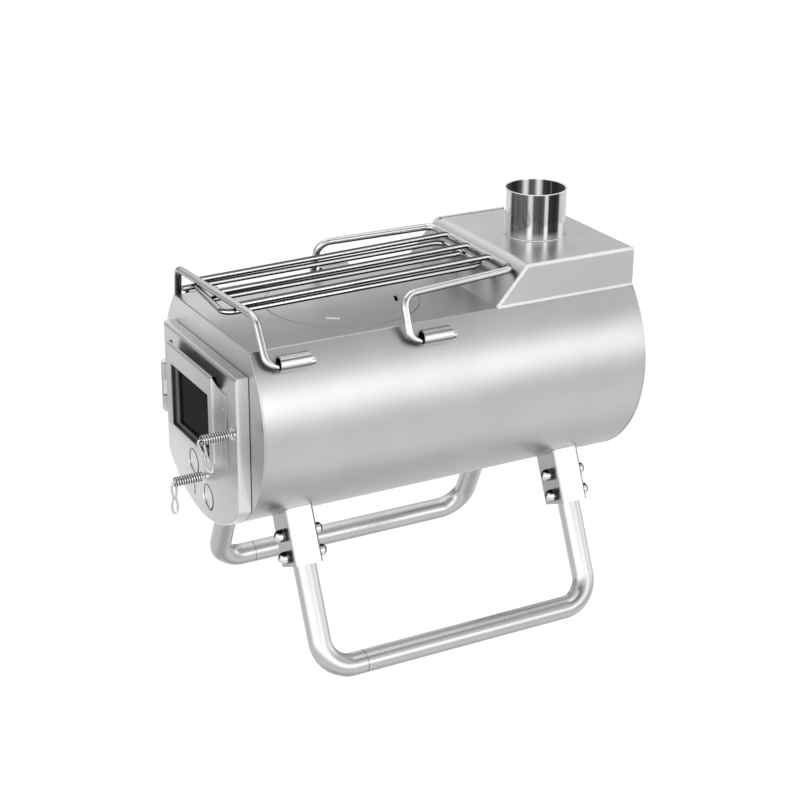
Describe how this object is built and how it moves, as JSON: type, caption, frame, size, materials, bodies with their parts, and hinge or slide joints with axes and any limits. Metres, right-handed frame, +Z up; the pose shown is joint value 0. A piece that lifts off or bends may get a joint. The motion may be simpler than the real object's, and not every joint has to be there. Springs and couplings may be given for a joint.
{
  "type": "tent wood stove",
  "caption": "Round stainless tent wood stove with a flat cooking top, a windowed front door, spring handles, a wire rack, a flue collar at the rear and splayed tube legs.",
  "frame": {"origin": "bottom centre of the whole stove's box, on the floor under the legs", "axes": "+Z up, -Y towards the door, +X to the right seen from the front"},
  "size_m": [0.2756, 0.452, 0.404],
  "materials": {
    "satin_steel": "satin",
    "inner_steel": "dull",
    "polished_steel": "polished",
    "hardware": "bright",
    "stove_glass": "dark gloss"
  },
  "bodies": {
    "stove_body": {"body_shell": "satin_steel", "front_plate": "satin_steel", "rear_plate": "satin_steel", "smoke_box": "satin_steel", "chimney_collar": "polished_steel", "lid_ledge_ring": "satin_steel", "smoke_baffle": "inner_steel", "grate_rails": "inner_steel", "body_hinge_leaf": "satin_steel", "hinge_pin": "hardware", "socket_front_right": "polished_steel", "socket_rear_right": "polished_steel", "socket_front_left": "polished_steel", "socket_rear_left": "polished_steel", "bracket_front_right": "polished_steel", "bracket_rear_right": "polished_steel", "bracket_front_left": "polished_steel", "bracket_rear_left": "polished_steel", "leg_right_front": "satin_steel", "leg_right_rear": "satin_steel", "leg_left_front": "satin_steel", "leg_left_rear": "satin_steel", "leg_bolts_right": "hardware", "leg_nuts_right": "hardware", "leg_bolts_left": "hardware", "leg_nuts_left": "hardware"},
    "door": {"door_pan": "satin_steel", "window_frame": "satin_steel", "window_retainer": "inner_steel", "window_glass": "stove_glass", "door_hinge_leaf": "satin_steel"},
    "latch": {"latch_handle": "hardware", "latch_spring": "hardware", "latch_bush": "hardware", "latch_cam": "satin_steel"},
    "damper": {"damper_handle": "hardware", "damper_spring": "hardware", "damper_bush": "hardware", "damper_disc": "satin_steel"},
    "lid": {"top_lid": "satin_steel"},
    "rack": {"rack_front_arch": "polished_steel", "rack_rear_arch": "polished_steel", "rack_bars": "polished_steel", "rack_ring": "polished_steel", "rack_middle_rail": "polished_steel"},
    "grate": {"fire_grate": "inner_steel"}
  },
  "joints": [
    {"name": "door_swing", "type": "hinge", "parent": "stove_body", "child": "door", "pos_m": [-0.0928, -0.186, 0.229], "axis": [0, 0, -1], "range_deg": [0, 110]},
    {"name": "latch_turn", "type": "hinge", "parent": "door", "child": "latch", "pos_m": [0.076, -0.198, 0.2433], "axis": [0, -1, 0], "range_deg": [0, 90]},
    {"name": "damper_turn", "type": "hinge", "parent": "door", "child": "damper", "pos_m": [0.0089, -0.198, 0.1755], "axis": [0, -1, 0], "range_deg": [0, 180]},
    {"name": "lid_lift", "type": "slide", "parent": "stove_body", "child": "lid", "axis": [0, 0, 1], "range_m": [0, 0.014]},
    {"name": "rack_slide", "type": "slide", "parent": "stove_body", "child": "rack", "axis": [0, -1, 0], "range_m": [0, 0.045]},
    {"name": "grate_lift", "type": "slide", "parent": "stove_body", "child": "grate", "axis": [0, 0, 1], "range_m": [0, 0.03]}
  ]
}
